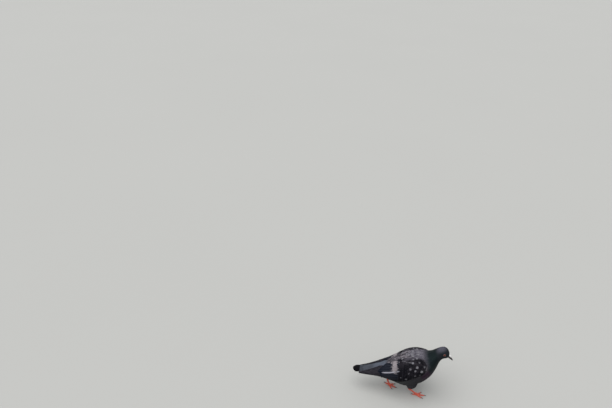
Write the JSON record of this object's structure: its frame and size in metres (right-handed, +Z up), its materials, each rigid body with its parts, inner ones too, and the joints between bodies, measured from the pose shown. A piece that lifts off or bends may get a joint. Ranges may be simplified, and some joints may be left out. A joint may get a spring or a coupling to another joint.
{
  "type": "pigeon model",
  "caption": "Life-size still model of a dark chequered feral pigeon in mid-walk, right foot forward, neck reaching forward and bill pointing down.",
  "frame": {"origin": "on the floor, under the centre of the model's box", "axes": "+X is the way the bird walks, tail to bill; +Y is its left side; +Z is up"},
  "size_m": [0.3064, 0.1214, 0.188],
  "materials": {
    "plumage": "dark slate feathers, soft and matt, with a green and purple sheen on the neck",
    "eye": "wet orange-red iris and black pupil",
    "bill": "dark horn, satin",
    "cere": "chalky white skin",
    "leg": "scaly orange-red skin",
    "claw": "dark horn, satin"
  },
  "bodies": {
    "root": {"trunk": "plumage", "neck": "plumage", "head": "plumage", "tail": "plumage", "wing_shield_left": "plumage", "wing_shield_right": "plumage", "wing_quills_left": "plumage", "wing_quills_right": "plumage", "thigh_left": "plumage", "thigh_right": "plumage", "eye_left": "eye", "eye_right": "eye", "bill_upper": "bill", "bill_lower": "bill", "cere": "cere", "shank_left": "leg", "shank_right": "leg", "foot_left": "leg", "foot_right": "leg", "claw_hallux_left": "claw", "claw_inner_left": "claw", "claw_middle_left": "claw", "claw_outer_left": "claw", "claw_hallux_right": "claw", "claw_inner_right": "claw", "claw_middle_right": "claw", "claw_outer_right": "claw"}
  },
  "joints": []
}
